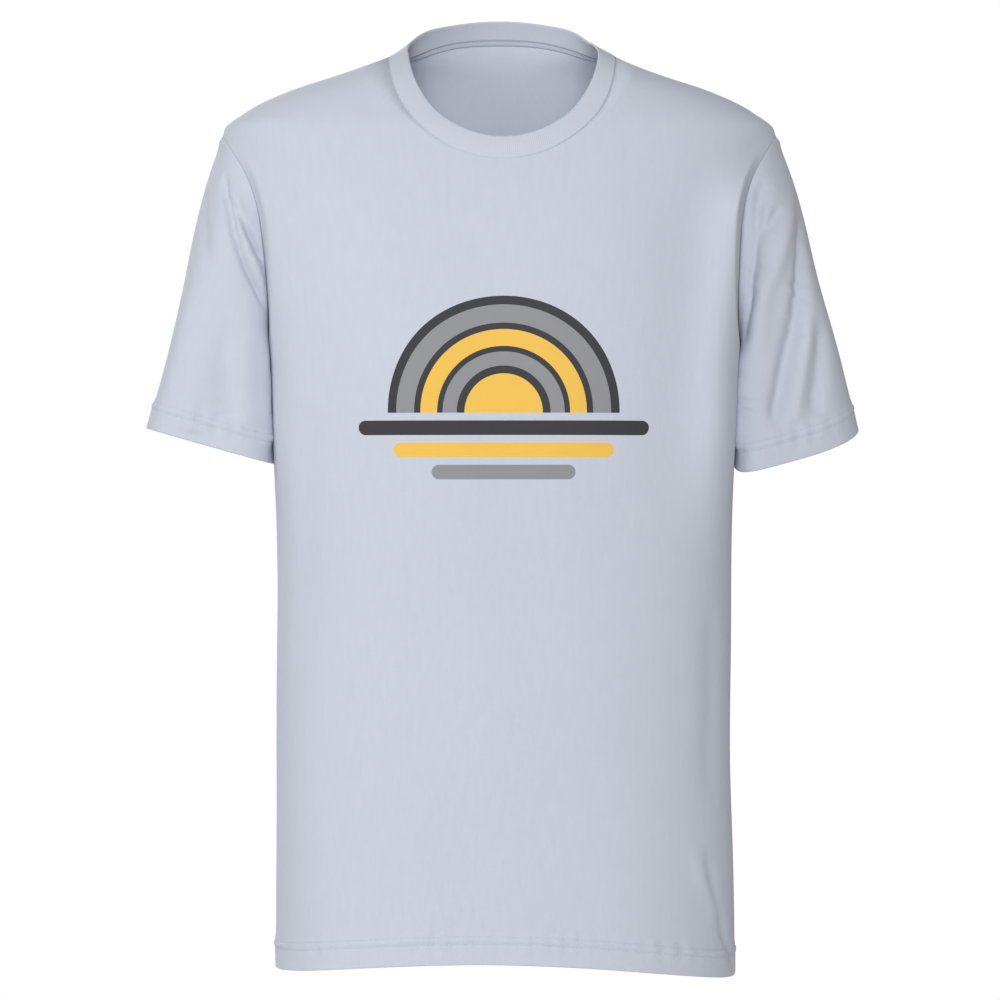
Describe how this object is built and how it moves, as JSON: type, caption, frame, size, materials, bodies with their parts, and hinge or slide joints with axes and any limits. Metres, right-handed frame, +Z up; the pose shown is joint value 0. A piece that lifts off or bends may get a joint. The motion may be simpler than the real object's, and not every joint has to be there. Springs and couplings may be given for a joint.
{
  "type": "t-shirt",
  "caption": "Short-sleeved crew-neck T-shirt of pale jersey in its worn shape, open at the neck, hem and sleeves, with a ribbed neckband and turned hems.",
  "frame": {"origin": "midway between the two high shoulder points, where the neckband meets the shoulder seams", "axes": "+Z up from hem to neck, -Y the front of the shirt, +X the wearer's left"},
  "size_m": [0.5664, 0.234, 0.7613],
  "materials": {
    "jersey": "pale grey single jersey, matt",
    "rib": "pale grey fine rib, matt",
    "tape": "pale grey jersey tape, matt"
  },
  "bodies": {
    "root": {"body_front": "jersey", "body_back": "jersey", "sleeve_left": "jersey", "sleeve_right": "jersey", "neck_rib": "rib", "neck_tape": "tape"}
  },
  "joints": []
}
